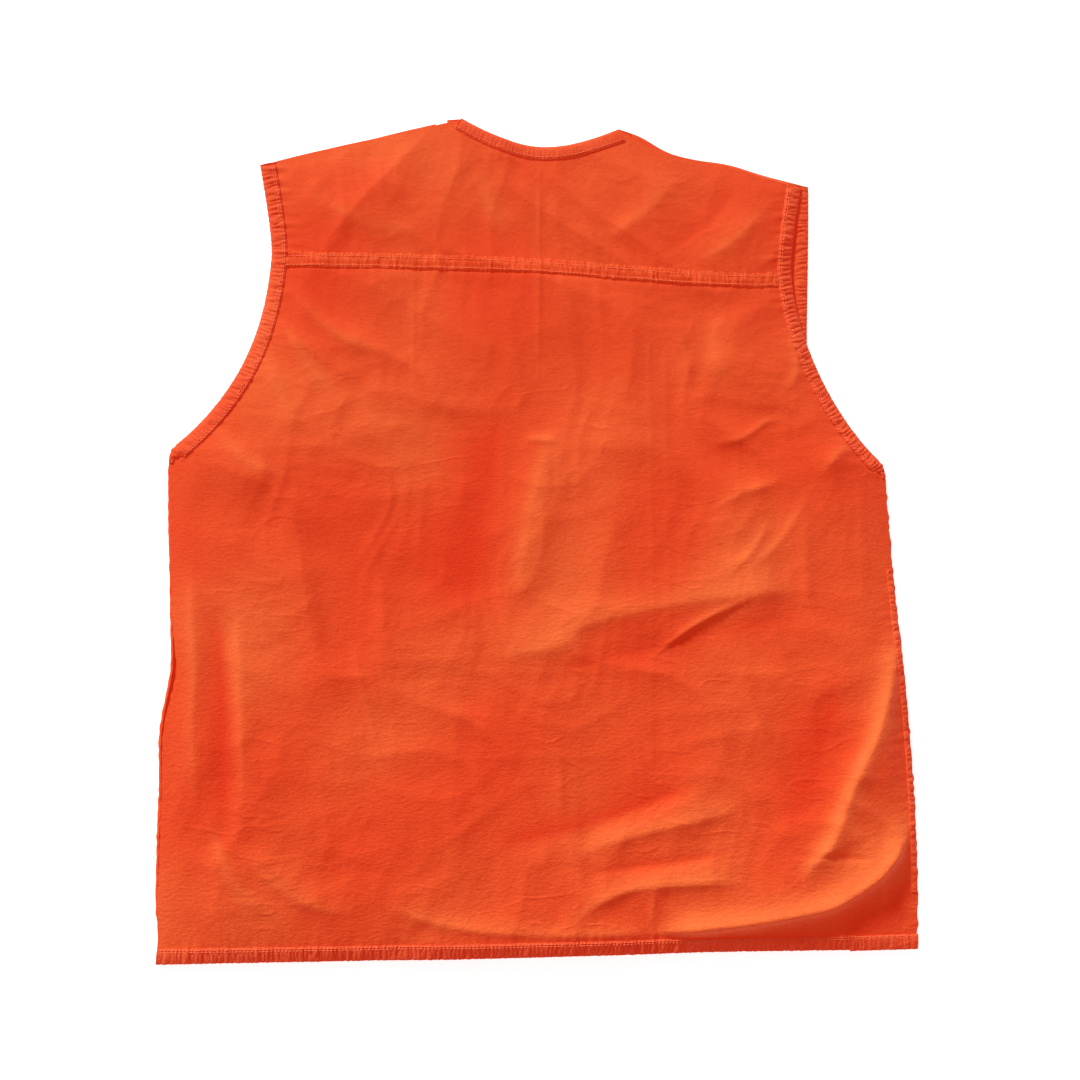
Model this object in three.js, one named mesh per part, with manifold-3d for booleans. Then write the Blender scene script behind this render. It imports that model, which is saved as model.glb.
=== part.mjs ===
// A blaze orange high visibility vest, laid out flat with its back up.
// Millimetres, +Z up. +Y runs from the hem to the neck and +X to the wearer's right.
// The origin is the middle of the vest on the surface that it lies on.
// Every piece of cloth is a flat plate in its own layer: back, front, pocket, flap.
import * as THREE from "three";
import { mergeVertices } from "three/addons/utils/BufferGeometryUtils.js";
import Module from "manifold-3d";

// Garment sizes, laid flat
const bodyLength = 699; // neck point of the shoulder down to the hem
const hemWidth = 634;
const sideFlare = 17; // each side, underarm to hem
const shoulderWidth = 456; // tip to tip
const acrossBack = 439; // between the armholes where they are deepest
const neckWidth = 142;
const shoulderDrop = 43; // neck point down to the shoulder tip
const armholeDepth = 239; // shoulder tip down to the underarm
const armholeWaist = 71; // shoulder tip down to where the armholes are deepest
const backNeckDrop = 21;
const frontNeckDrop = 130;
const yokeDepth = 119; // neck point down to the yoke seam
const frontSkew = 7; // how far the front layer lies off to the wearer's right at the armholes

// Cloth, bindings and seams
const cloth = 0.6;
const gap = 0.3; // between pieces that touch
const bindingWidth = 13;
const bindingWall = 0.5; // each face of the folded strip
const bindingFold = 1; // the strip's folded edge, outside the cloth's raw edge
const yokeSeamWidth = 12;
const yokeSeamThickness = 1.4;
const seamWall = 2; // a side or shoulder seam, seen from above
const underarmRelief = 4; // the side seam stops this far under the armhole binding

// Front opening
const foldLine = neckWidth / 2 + bindingWidth + 2; // where each front folds back
const foldRelief = 0.3; // each side of the fold line
const frontEdge = 10; // centre line to the front's cut edge
const coilGap = 6.4; // between the two coils while the zipper is undone

// Zipper
const zipperBottom = 14; // above the hem
const zipperTop = 16; // below the front neck
const tapeWidth = 22;
const tapeThickness = 0.5;
const coilWidth = 3;
const coilThickness = 2;
const stopLength = 3;
const boxLength = 8;
const boxWidth = 9;
const pinSide = 2;
const pinLength = 14;
const pinClearance = 0.3;
const sliderLength = 9;
const sliderWidth = 9;
const sliderPlate = 0.7;
const sliderWeb = 1.2;
const sliderPlay = 0.4;
const bridgeWidth = 1.6;
const bridgeBar = 0.8;
const bridgeLength = 7.8;
const bridgeWindow = 1.8; // between the bar and the slider's outer plate
const bridgePost = 1.1;
const pullBar = 1.2;
const pullThickness = 1;
const pullWidth = 7;
const pullLength = 34;
const pullEye = 8;
const pullArm = 1.6;

// Pockets and their flaps
const pocketFromSide = 34; // measured at the underarm's width
const pocketHeight = 200;
const pocketAboveHem = 32;
const pocketFromFold = 22;
const pocketCorner = 18;
const pocketWall = 1; // the seams that stand between the pocket and the front
const pocketRoom = 4.6; // between the pocket and the front panel
const flapDepth = 62;
const flapOverhang = 2; // each side of the pocket
const flapAbovePocket = 16;
const flapCorner = 22;
const flapSeamWidth = 8;

// Press studs
const snapAboveFlapEdge = 14;
const capDiameter = 12;
const capThickness = 0.8;
const socketDiameter = 10;
const socketThickness = 1.2;
const socketBore = 4.6;
const studPost = 3.6;
const studBase = 0.4;

// Heights of the layers over the surface, from the snap caps up
const flapZ = capThickness + gap;
const socketZ = flapZ + cloth + gap;
const studZ = socketZ + socketThickness + gap;
const pocketZ = studZ + studBase + gap;
const frontZ = pocketZ + cloth + pocketRoom;
const tapeZ = frontZ + cloth + gap;
const insideHeight = 8.4; // room for the body between the front and the back
const backZ = frontZ + cloth + insideHeight;

// Where the garment's corners come
const hemHalf = hemWidth / 2;
const chestHalf = hemHalf - sideFlare;
const shoulderHalf = shoulderWidth / 2;
const neckHalf = neckWidth / 2;
const shoulderTipY = bodyLength - shoulderDrop;
const underarmY = shoulderTipY - armholeDepth;
const waistY = shoulderTipY - armholeWaist;
const yokeSeamY = bodyLength - yokeDepth;
const frontNeckY = bodyLength - frontNeckDrop;
const rawEdge = bindingFold + gap; // the cloth stops this far inside a bound edge
const bindingThickness = cloth + 2 * gap + 2 * bindingWall;
const bindingDrop = gap + bindingWall; // a binding's face is this far outside the cloth's
const coilEdge = coilGap / 2;
const coilBottomY = zipperBottom + boxLength + gap;
const coilTopY = frontNeckY - zipperTop;
const tapeInner = coilEdge + 0.2;
const pocketInner = foldLine + pocketFromFold;
const pocketOuter = chestHalf - pocketFromSide;
const pocketMiddle = (pocketInner + pocketOuter) / 2;
const pocketTopY = pocketAboveHem + pocketHeight;
const flapHingeY = pocketTopY + flapAbovePocket;
const snapY = flapHingeY - flapDepth + snapAboveFlapEdge;
const sliderX = -coilEdge + sliderWeb / 2 + sliderPlay;

const LEFT = -1;
const RIGHT = 1;
const sides = { left: LEFT, right: RIGHT }; // the wearer's

const orangeCloth = new THREE.MeshStandardMaterial({ color: 0xe84e22, roughness: 0.85 });
const orangeTape = new THREE.MeshStandardMaterial({ color: 0xe4572e, roughness: 0.9 });
const orangeCoil = new THREE.MeshStandardMaterial({ color: 0xd9481f, roughness: 0.45 });
const zincMetal = new THREE.MeshStandardMaterial({ color: 0xb9bcc0, roughness: 0.35, metalness: 1 });

const wasm = await Module();
wasm.setup();

// ---- joins and cuts -------------------------------------------------------

function solidOf(geometry) {
  const bare = geometry.clone();
  bare.deleteAttribute("normal");
  bare.deleteAttribute("uv");
  const merged = mergeVertices(bare, 1e-3);
  const vertProperties = merged.attributes.position.array;
  const triVerts = new Uint32Array(merged.index.array);
  return new wasm.Manifold(new wasm.Mesh({ numProp: 3, vertProperties, triVerts }));
}

function geometryOf(solid) {
  const { vertProperties, triVerts } = solid.getMesh();
  return new THREE.BufferGeometry()
    .setAttribute("position", new THREE.BufferAttribute(vertProperties, 3))
    .setIndex(new THREE.BufferAttribute(triVerts, 1));
}

const joined = (first, ...rest) =>
  geometryOf(rest.reduce((sum, part) => sum.add(solidOf(part)), solidOf(first)));

const cutAway = (whole, ...tools) =>
  geometryOf(tools.reduce((left, tool) => left.subtract(solidOf(tool)), solidOf(whole)));

// ---- shapes ---------------------------------------------------------------

const point = (x, y) => new THREE.Vector2(x, y);

function plate(points, bottom, thickness) {
  const clockwise = THREE.ShapeUtils.isClockWise(points);
  const shape = new THREE.Shape(clockwise ? [...points].reverse() : points);
  return new THREE.ExtrudeGeometry(shape, { depth: thickness, bevelEnabled: false })
    .translate(0, 0, bottom);
}

const rectangle = (x0, y0, x1, y1) => [point(x0, y0), point(x1, y0), point(x1, y1), point(x0, y1)];

const block = (x0, y0, z0, x1, y1, z1) => plate(rectangle(x0, y0, x1, y1), z0, z1 - z0);

const mirrored = (points) => points.map(({ x, y }) => point(-x, y));

const onSide = (points, side) => (side === LEFT ? mirrored(points) : points);

// The line moved sideways, to its right where the distance is positive.
function offsetLine(line, distance) {
  return line.map((here, i) => {
    const before = line[Math.max(i - 1, 0)];
    const after = line[Math.min(i + 1, line.length - 1)];
    const along = after.clone().sub(before).normalize();
    return point(here.x + along.y * distance, here.y - along.x * distance);
  });
}

const strip = (line, outer, inner) => [
  ...offsetLine(line, outer),
  ...offsetLine(line, inner).reverse(),
];

// A strip of tape folded over a raw edge. The line is the folded edge, and the cloth is on its right.
function binding(line, clothZ) {
  const outside = plate(strip(line, 0, bindingWidth), clothZ - bindingDrop, bindingThickness);
  const slotLine = extended(line, bindingWidth);
  const slot = plate(
    strip(slotLine, bindingFold, bindingWidth * 1.5), clothZ - gap, cloth + 2 * gap);
  return cutAway(outside, slot);
}

function extended(line, by) {
  const start = line[0].clone().add(line[0].clone().sub(line[1]).setLength(by));
  const last = line.length - 1;
  const end = line[last].clone().add(line[last].clone().sub(line[last - 1]).setLength(by));
  return [start, ...line, end];
}

function mesh(name, geometry, material) {
  const made = new THREE.Mesh(geometry, material);
  made.name = name;
  return made;
}

// ---- the outline, wearer's right half -------------------------------------

const CURVE_STEPS = 10;

function bezier(a, b, c, d, steps = CURVE_STEPS) {
  return new THREE.CubicBezierCurve(a, b, c, d).getPoints(steps);
}

const sideLine = bezier(
  point(hemHalf, 0),
  point(hemHalf, underarmY * 0.4),
  point(chestHalf, underarmY * 0.55),
  point(chestHalf, underarmY),
);

// From the underarm up to the shoulder tip. The front layer is skewed to one side.
function armholeLine(skew) {
  const waistX = acrossBack / 2 + skew;
  const lower = bezier(
    point(chestHalf, underarmY),
    point(chestHalf - 36, underarmY + 28),
    point(waistX + 7, waistY - 60),
    point(waistX, waistY),
  );
  const upper = bezier(
    point(waistX, waistY),
    point(waistX - 1, waistY + 20),
    point(shoulderHalf - 4, shoulderTipY - 20),
    point(shoulderHalf, shoulderTipY),
    5,
  );
  return [...lower, ...upper.slice(1)];
}

// From the neck point of the shoulder to the middle of the back.
const backNeckLine = bezier(
  point(neckHalf, bodyLength),
  point(neckHalf * 0.72, bodyLength - backNeckDrop * 0.5),
  point(neckHalf * 0.35, bodyLength - backNeckDrop),
  point(0, bodyLength - backNeckDrop),
);

// From the neck point of the shoulder down to the front edge.
const frontNeckLine = bezier(
  point(neckHalf, bodyLength),
  point(neckHalf - 6, bodyLength - frontNeckDrop * 0.45),
  point(frontEdge + 26, frontNeckY + 6),
  point(frontEdge, frontNeckY),
);

const above = (line, y) => line.filter((p) => p.y > y);
const below = (line, y) => line.filter((p) => p.y < y);

// The armhole's x at a height, on the line that the cloth is cut to.
function xAt(line, y) {
  const i = line.findIndex((p, k) => k > 0 && line[k - 1].y <= y && p.y > y);
  const share = (y - line[i - 1].y) / (line[i].y - line[i - 1].y);
  return line[i - 1].x + share * (line[i].x - line[i - 1].x);
}

const sideCloth = sideLine.map(({ x, y }) => point(x - seamWall - gap, y));
const shoulderInset = seamWall + gap;

// ---- back -----------------------------------------------------------------

function backPieces() {
  const cut = offsetLine(armholeLine(0), -rawEdge);
  const seamLow = yokeSeamY - yokeSeamWidth / 2;
  const seamHigh = yokeSeamY + yokeSeamWidth / 2;
  const half = [
    point(hemHalf - seamWall - gap, rawEdge),
    ...above(sideCloth, rawEdge),
    ...below(cut, seamLow - gap).slice(1),
    point(xAt(cut, seamLow - gap), seamLow - gap),
  ];
  const yokeHalf = [
    point(xAt(cut, seamHigh + gap), seamHigh + gap),
    ...above(cut, seamHigh + gap).slice(0, -1),
    point(xAt(cut, shoulderTipY - shoulderInset), shoulderTipY - shoulderInset),
    point(neckHalf + rawEdge, bodyLength - shoulderInset - rawEdge),
    ...offsetLine(backNeckLine, -rawEdge).slice(1),
  ];
  const seamHalf = bindingWidth + gap; // the seam stops at the armhole bindings
  const seamX = (y) => xAt(armholeLine(0), y) - seamHalf;
  const seam = [
    point(seamX(seamLow), seamLow),
    point(seamX(seamHigh), seamHigh),
    point(-seamX(seamHigh), seamHigh),
    point(-seamX(seamLow), seamLow),
  ];
  const both = (points) => [...points, ...mirrored(points).reverse()];
  const neck = [...backNeckLine, ...mirrored(backNeckLine).reverse().slice(1)];
  return [
    mesh("back_panel", plate(both(half), backZ, cloth), orangeCloth),
    mesh("back_yoke", plate(both(yokeHalf), backZ, cloth), orangeCloth),
    mesh("yoke_seam", plate(seam, backZ, yokeSeamThickness), orangeCloth),
    mesh("neck_binding_back", binding(neck.reverse(), backZ), orangeTape),
    mesh(
      "hem_binding_back",
      binding([point(hemHalf, 0), point(-hemHalf, 0)], backZ),
      orangeTape,
    ),
  ];
}

// ---- one side: front panel, armhole, seams, pocket ------------------------

function frontPanel(name, side) {
  const cut = offsetLine(armholeLine(frontSkew * side), -rawEdge);
  const outline = [
    point(foldLine + foldRelief, rawEdge),
    point(hemHalf - seamWall - gap, rawEdge),
    ...above(sideCloth, rawEdge),
    ...cut.slice(1, -1),
    point(xAt(cut, shoulderTipY - shoulderInset), shoulderTipY - shoulderInset),
    point(foldLine + foldRelief, shoulderY(foldLine + foldRelief) - shoulderInset),
  ];
  return mesh(`${name}_front_panel`, plate(onSide(outline, side), frontZ, cloth), orangeCloth);
}

function shoulderY(x) {
  return bodyLength - (shoulderDrop * (x - neckHalf)) / (shoulderHalf - neckHalf);
}

function armholeBinding(name, side, layer, skew, z) {
  const line = armholeLine(skew * side).reverse();
  const onThisSide = side === LEFT ? mirrored(line).reverse() : line;
  return mesh(`${name}_armhole_binding_${layer}`, binding(onThisSide, z), orangeTape);
}

function sideSeam(name, side) {
  const line = sideLine.filter((p) => p.y > bindingWidth && p.y < underarmY - underarmRelief);
  const low = point(xAt(sideLine, bindingWidth + gap), bindingWidth + gap);
  const high = point(chestHalf, underarmY - underarmRelief);
  const outer = [low, ...line, high];
  const inner = outer.map(({ x, y }) => point(x - seamWall, y)).reverse();
  const wall = plate(onSide([...outer, ...inner], side), 0, backZ + cloth);
  return mesh(`${name}_side_seam`, wall, orangeCloth);
}

function shoulderSeam(name, side) {
  const from = foldLine + 2 * gap;
  const to = shoulderHalf - bindingWidth - 2 * gap;
  const outline = [
    point(from, shoulderY(from)),
    point(to, shoulderY(to)),
    point(to, shoulderY(to) - seamWall),
    point(from, shoulderY(from) - seamWall),
  ];
  const low = frontZ - bindingDrop;
  return mesh(
    `${name}_shoulder_seam`, plate(onSide(outline, side), low, backZ + cloth - low), orangeCloth);
}

function hemBindingFront(name, side) {
  const line = [point(hemHalf, 0), point(foldLine + foldRelief, 0)];
  const onThisSide = side === LEFT ? mirrored(line).reverse() : line;
  return mesh(`${name}_hem_binding_front`, binding(onThisSide, frontZ), orangeTape);
}

function clippedPatch(x0, y0, x1, y1, corner) {
  return [
    point(x0 + corner, y0), point(x1 - corner, y0), point(x1, y0 + corner),
    point(x1, y1), point(x0, y1), point(x0, y0 + corner),
  ];
}

function pocket(name, side) {
  const outline = clippedPatch(
    pocketInner, pocketAboveHem, pocketOuter, pocketTopY, pocketCorner);
  const hollow = clippedPatch(
    pocketInner + pocketWall, pocketAboveHem + pocketWall, pocketOuter - pocketWall,
    pocketTopY + pocketWall, pocketCorner);
  const whole = plate(onSide(outline, side), pocketZ, frontZ - gap - pocketZ);
  const room = plate(onSide(hollow, side), pocketZ + cloth, frontZ - pocketZ);
  return mesh(`${name}_pocket`, cutAway(whole, room), orangeCloth);
}

function flapSeam(name, side) {
  const outline = rectangle(
    pocketInner - flapOverhang, flapHingeY + gap,
    pocketOuter + flapOverhang, flapHingeY + gap + flapSeamWidth);
  const low = flapZ - gap / 2;
  return mesh(
    `${name}_flap_seam`, plate(onSide(outline, side), low, frontZ - gap - low), orangeCloth);
}

// ---- pocket flap and its press stud ---------------------------------------

function flap(name, side) {
  const outline = clippedPatch(
    pocketInner - flapOverhang, flapHingeY - flapDepth,
    pocketOuter + flapOverhang, flapHingeY, flapCorner);
  return mesh(`${name}_pocket_flap`, plate(onSide(outline, side), flapZ, cloth), orangeCloth);
}

// A turned part standing on Z. The profile runs from its lower inside point outwards and up.
function turned(name, profile, side) {
  const geometry = new THREE.LatheGeometry(profile, 24)
    .rotateX(Math.PI / 2)
    .translate(side * pocketMiddle, snapY, 0);
  return mesh(name, geometry, zincMetal);
}

function snapPieces(name, side) {
  const capR = capDiameter / 2;
  const socketR = socketDiameter / 2;
  const boreR = socketBore / 2;
  const postR = studPost / 2;
  const rim = 0.25;
  const postEnd = socketZ + gap;
  const studTop = studZ + studBase;
  const cap = [
    point(0, 0), point(capR - rim, 0), point(capR, rim), point(capR, capThickness),
    point(0, capThickness),
  ];
  const socketTop = socketZ + socketThickness;
  const socket = [
    point(boreR, socketZ), point(socketR, socketZ), point(socketR, socketTop - rim),
    point(socketR - rim, socketTop), point(boreR, socketTop), point(boreR, socketZ),
  ];
  const stud = [
    point(0, postEnd), point(postR, postEnd), point(postR, studZ), point(socketR, studZ),
    point(socketR, studTop), point(0, studTop),
  ];
  return {
    cap: turned(`${name}_snap_cap`, cap, side),
    socket: turned(`${name}_snap_socket`, socket, side),
    stud: turned(`${name}_snap_stud`, stud, side),
  };
}

// ---- the strip of each front that folds back, with its half of the zipper --

function frontStrip(name, side) {
  const inner = offsetLine(frontNeckLine, -rawEdge);
  const shoulderX = foldLine - foldRelief;
  const outline = [
    point(shoulderX, rawEdge),
    point(shoulderX, shoulderY(shoulderX) - shoulderInset),
    point(neckHalf + rawEdge, bodyLength - shoulderInset - rawEdge),
    ...inner.slice(1, -1),
    point(frontEdge, inner[inner.length - 1].y),
    point(frontEdge, rawEdge),
  ];
  return mesh(`${name}_front_strip`, plate(onSide(outline, side), frontZ, cloth), orangeCloth);
}

function stripBindings(name, side) {
  const place = (line) => (side === LEFT ? mirrored(line).reverse() : line);
  const neck = place([...frontNeckLine].reverse());
  const hem = place([point(foldLine - foldRelief, 0), point(frontEdge, 0)]);
  return [
    mesh(`${name}_neck_binding`, binding(neck, frontZ), orangeTape),
    mesh(`${name}_hem_binding_strip`, binding(hem, frontZ), orangeTape),
  ];
}

function zipperHalf(name, side) {
  const coilZ = tapeZ - gap - coilThickness;
  const place = (x0, y0, z0, x1, y1, z1) =>
    side === LEFT ? block(-x1, y0, z0, -x0, y1, z1) : block(x0, y0, z0, x1, y1, z1);
  const coilOuter = coilEdge + coilWidth;
  const tape = place(
    tapeInner, coilBottomY, tapeZ, tapeInner + tapeWidth, frontNeckY - bindingWidth - gap,
    tapeZ + tapeThickness);
  const coil = place(
    coilEdge, coilBottomY, coilZ, coilOuter, coilTopY - gap, coilZ + coilThickness);
  const stop = place(
    coilEdge, coilTopY, coilZ - gap, coilOuter, coilTopY + stopLength, coilZ + coilThickness);
  return [
    mesh(`${name}_zipper_tape`, tape, orangeTape),
    mesh(`${name}_zipper_coil`, coil, orangeCoil),
    mesh(`${name}_top_stop`, stop, zincMetal),
  ];
}

// The box at the foot of the left tape takes the pin of the right tape.
function retainerBox() {
  const x0 = sliderX - boxWidth / 2;
  const x1 = sliderX + boxWidth / 2;
  const z0 = tapeZ - coilThickness - 2 * gap;
  const z1 = tapeZ + tapeThickness;
  const hole = pinSide + 2 * pinClearance;
  const middle = (z0 + z1) / 2;
  const holeX = sliderX + boxWidth / 4 - hole / 2;
  const whole = block(x0, zipperBottom, z0, x1, zipperBottom + boxLength, z1);
  const socket = block(
    holeX, zipperBottom + bindingWall * 2, middle - hole / 2,
    holeX + hole, zipperBottom + boxLength + 1, middle + hole / 2);
  return mesh("retainer_box", cutAway(whole, socket), zincMetal);
}

function insertionPin() {
  const top = coilBottomY - gap;
  const z = tapeZ - gap - pinSide;
  const pin = block(
    coilEdge + 0.4, top - pinLength + boxLength, z, coilEdge + 0.4 + pinSide, top, z + pinSide);
  return mesh("insertion_pin", pin, zincMetal);
}

// ---- slider and pull ------------------------------------------------------

const sliderY = coilBottomY + gap + sliderLength / 2; // parked at the foot of the left tape
const outerPlateZ = tapeZ - gap - coilThickness - sliderPlay - sliderPlate;
const innerPlateZ = tapeZ + tapeThickness + sliderPlay;
const bridgeZ = outerPlateZ - bridgeWindow - bridgeBar;
const pullAxisZ = outerPlateZ - bridgeWindow / 2;

function zipperSlider() {
  const halfWidth = sliderWidth / 2;
  const halfLength = sliderLength / 2;
  const shield = (z) => {
    const nose = halfWidth * 0.55;
    const outline = [
      point(sliderX - halfWidth, sliderY), point(sliderX - nose, sliderY - halfLength),
      point(sliderX + nose, sliderY - halfLength), point(sliderX + halfWidth, sliderY),
      point(sliderX + halfWidth, sliderY + halfLength),
      point(sliderX - halfWidth, sliderY + halfLength),
    ];
    return plate(outline, z, sliderPlate);
  };
  const web = block(
    sliderX - sliderWeb / 2, sliderY, outerPlateZ + sliderPlate / 2,
    sliderX + sliderWeb / 2, sliderY + halfLength, innerPlateZ + sliderPlate / 2);
  const post = (y) =>
    block(
      sliderX - bridgeWidth / 2, y, bridgeZ + bridgeBar / 2,
      sliderX + bridgeWidth / 2, y + bridgePost, outerPlateZ + sliderPlate / 2);
  const bar = block(
    sliderX - bridgeWidth / 2, sliderY - bridgeLength / 2, bridgeZ,
    sliderX + bridgeWidth / 2, sliderY + bridgeLength / 2, bridgeZ + bridgeBar);
  const body = joined(
    shield(outerPlateZ), shield(innerPlateZ), web, bar,
    post(sliderY - bridgeLength / 2), post(sliderY + bridgeLength / 2 - bridgePost));
  return mesh("zipper_slider", body, zincMetal);
}

function zipperPull() {
  const bar = new THREE.CylinderGeometry(pullBar / 2, pullBar / 2, pullWidth - 1, 12)
    .rotateZ(Math.PI / 2)
    .translate(sliderX, sliderY, pullAxisZ);
  const z = pullAxisZ - pullThickness / 2;
  const half = pullWidth / 2;
  const tab = plate(
    [
      point(sliderX - half, sliderY + pullEye), point(sliderX + half, sliderY + pullEye),
      point(sliderX + half, sliderY + pullLength - 4),
      point(sliderX + half - 3, sliderY + pullLength),
      point(sliderX - half + 3, sliderY + pullLength),
      point(sliderX - half, sliderY + pullLength - 4),
    ],
    z, pullThickness);
  const arm = (x) =>
    block(x, sliderY, z, x + pullArm, sliderY + pullEye + 1, z + pullThickness);
  const armX = bridgeWidth / 2 + 0.6;
  const body = joined(bar, tab, arm(sliderX + armX), arm(sliderX - armX - pullArm));
  return mesh("zipper_pull", body, zincMetal);
}

// ---- assembly -------------------------------------------------------------

const vest = new THREE.Group();
vest.add(...backPieces());

for (const [name, side] of Object.entries(sides)) {
  vest.add(
    frontPanel(name, side),
    armholeBinding(name, side, "back", 0, backZ),
    armholeBinding(name, side, "front", frontSkew, frontZ),
    sideSeam(name, side),
    shoulderSeam(name, side),
    hemBindingFront(name, side),
    pocket(name, side),
    flapSeam(name, side),
  );

  const snap = snapPieces(name, side);
  const flapGroup = new THREE.Group();
  flapGroup.add(flap(name, side), snap.cap, snap.socket);
  vest.add(flapGroup, snap.stud);

  const opening = new THREE.Group();
  opening.add(frontStrip(name, side), ...stripBindings(name, side), ...zipperHalf(name, side));
  if (side === LEFT) opening.add(retainerBox(), zipperSlider(), zipperPull());
  else opening.add(insertionPin());
  vest.add(opening);
}

vest.position.y = -bodyLength / 2;

export default vest;
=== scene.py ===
import math

import bpy
import numpy as np
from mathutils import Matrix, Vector


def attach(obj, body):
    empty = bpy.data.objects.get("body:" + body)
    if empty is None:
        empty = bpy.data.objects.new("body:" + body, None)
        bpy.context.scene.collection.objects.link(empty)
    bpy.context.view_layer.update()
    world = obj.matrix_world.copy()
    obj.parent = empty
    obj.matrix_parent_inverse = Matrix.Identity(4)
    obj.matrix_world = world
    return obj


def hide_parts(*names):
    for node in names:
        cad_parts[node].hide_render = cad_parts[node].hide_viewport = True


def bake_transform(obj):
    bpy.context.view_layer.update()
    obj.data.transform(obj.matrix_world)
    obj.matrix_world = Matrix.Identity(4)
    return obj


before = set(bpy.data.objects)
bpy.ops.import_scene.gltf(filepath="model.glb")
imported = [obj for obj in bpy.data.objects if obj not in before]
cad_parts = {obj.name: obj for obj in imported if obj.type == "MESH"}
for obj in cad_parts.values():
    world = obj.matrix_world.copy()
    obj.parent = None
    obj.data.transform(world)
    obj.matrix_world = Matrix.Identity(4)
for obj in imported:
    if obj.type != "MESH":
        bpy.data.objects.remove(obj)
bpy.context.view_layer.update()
print("frame loaded")

# The pattern is in millimetres from the hem, as the vest is cut. Meshes are in metres.
mm = 0.001
pattern = {
    "length": 699, "hemHalf": 317, "chestHalf": 300, "shoulderHalf": 228, "waistHalf": 219.5,
    "neckHalf": 71, "tipY": 656, "underarmY": 417, "waistY": 585, "backNeckY": 678,
    "frontNeckY": 569, "seamLow": 574, "seamHigh": 586, "frontEdge": 10, "foldX": 86,
    "frontTipHalf": 236, "bindingWidth": 13, "clothThick": 0.5, "edgeInset": 1.2,
}
p = pattern
midY = p["length"] / 2
shoulderSlope = (p["length"] - p["tipY"]) / (p["shoulderHalf"] - p["neckHalf"])


def bezier(a, b, c, d, count=24):
    t = np.linspace(0, 1, count)[:, None]
    a, b, c, d = (np.array(q, float) for q in (a, b, c, d))
    return (1 - t) ** 3 * a + 3 * t * (1 - t) ** 2 * b + 3 * t * t * (1 - t) * c + t**3 * d


sideLine = bezier(
    (p["hemHalf"], 0), (p["hemHalf"], p["underarmY"] * 0.4),
    (p["chestHalf"], p["underarmY"] * 0.55), (p["chestHalf"], p["underarmY"]), 40)


def smooth(low, high, value):
    t = np.clip((value - low) / (high - low), 0, 1)
    return t * t * (3 - 2 * t)


def armholeLine():
    waist = p["waistHalf"]
    lower = bezier(
        (p["chestHalf"], p["underarmY"]), (p["chestHalf"] - 36, p["underarmY"] + 28),
        (waist + 7, p["waistY"] - 60), (waist, p["waistY"]), 40)
    upper = bezier(
        (waist, p["waistY"]), (waist - 1, p["waistY"] + 20),
        (p["shoulderHalf"] - 4, p["tipY"] - 20), (p["shoulderHalf"], p["tipY"]), 16)
    return np.vstack([lower, upper[1:]])


# The front layer's armhole. On the right it hangs straight, out past the back's.
def frontArmholeLine(name):
    line = armholeLine()
    tucked = line[:, 0] - 4 * smooth(p["underarmY"], p["underarmY"] + 40, line[:, 1])
    if name == "right":
        straight = np.logaddexp(tucked / 2, p["frontTipHalf"] / 2) * 2 - 0.6
        tucked = np.where(line[:, 1] > 500, straight, tucked)
    return np.stack([tucked, line[:, 1]], -1)


# The line of the binding, which rounds the corner under the arm.
def boundLine(line):
    edge, low = p["chestHalf"], p["underarmY"]
    corner = [(edge + 0.6, low - 11), (edge, low - 5), (edge - 2.4, low)]
    return np.vstack([corner, line[2:]])


backNeckLine = bezier(
    (p["neckHalf"], p["length"]), (p["neckHalf"] * 0.72, p["length"] - 10.5),
    (p["neckHalf"] * 0.35, p["backNeckY"]), (0, p["backNeckY"]))
frontNeckLine = bezier(
    (p["neckHalf"], p["length"]), (p["neckHalf"] - 6, p["length"] - 58),
    (p["frontEdge"] + 26, p["frontNeckY"] + 6), (p["frontEdge"], p["frontNeckY"]), 40)


# Half the vest's width at each height, in millimetres.
def halfWidth(y):
    line = np.vstack([sideLine, armholeLine()[1:]])
    return np.interp(y, line[:, 1], line[:, 0])


# How the back and the front lie, in millimetres, with the layers' clearances.
relief = {
    "edgeHeight": 2.6, "middleHeight": 9.8, "edgeSoftness": 46, "backOverFront": 2.2,
    "backRise": 1.2, "foldScale": 1.35, "seed": 11, "least": 0.9, "overTape": 11.7, "overSlider": 13.2,
    "flatOverZipper": 112, "foldReach": 3.2, "foldEnds": 48, "foldEndShare": 0.38,
    "crinkles": [(110, 2.2, (1, 1)), (50, 0.6, (1, 3)), (56, 0.5, (3, 1)), (29, 0.22, (1, 2.4)),
                 (23, 0.18, (2.6, 1)), (12, 0.09, (1.4, 1))],
}

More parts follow.
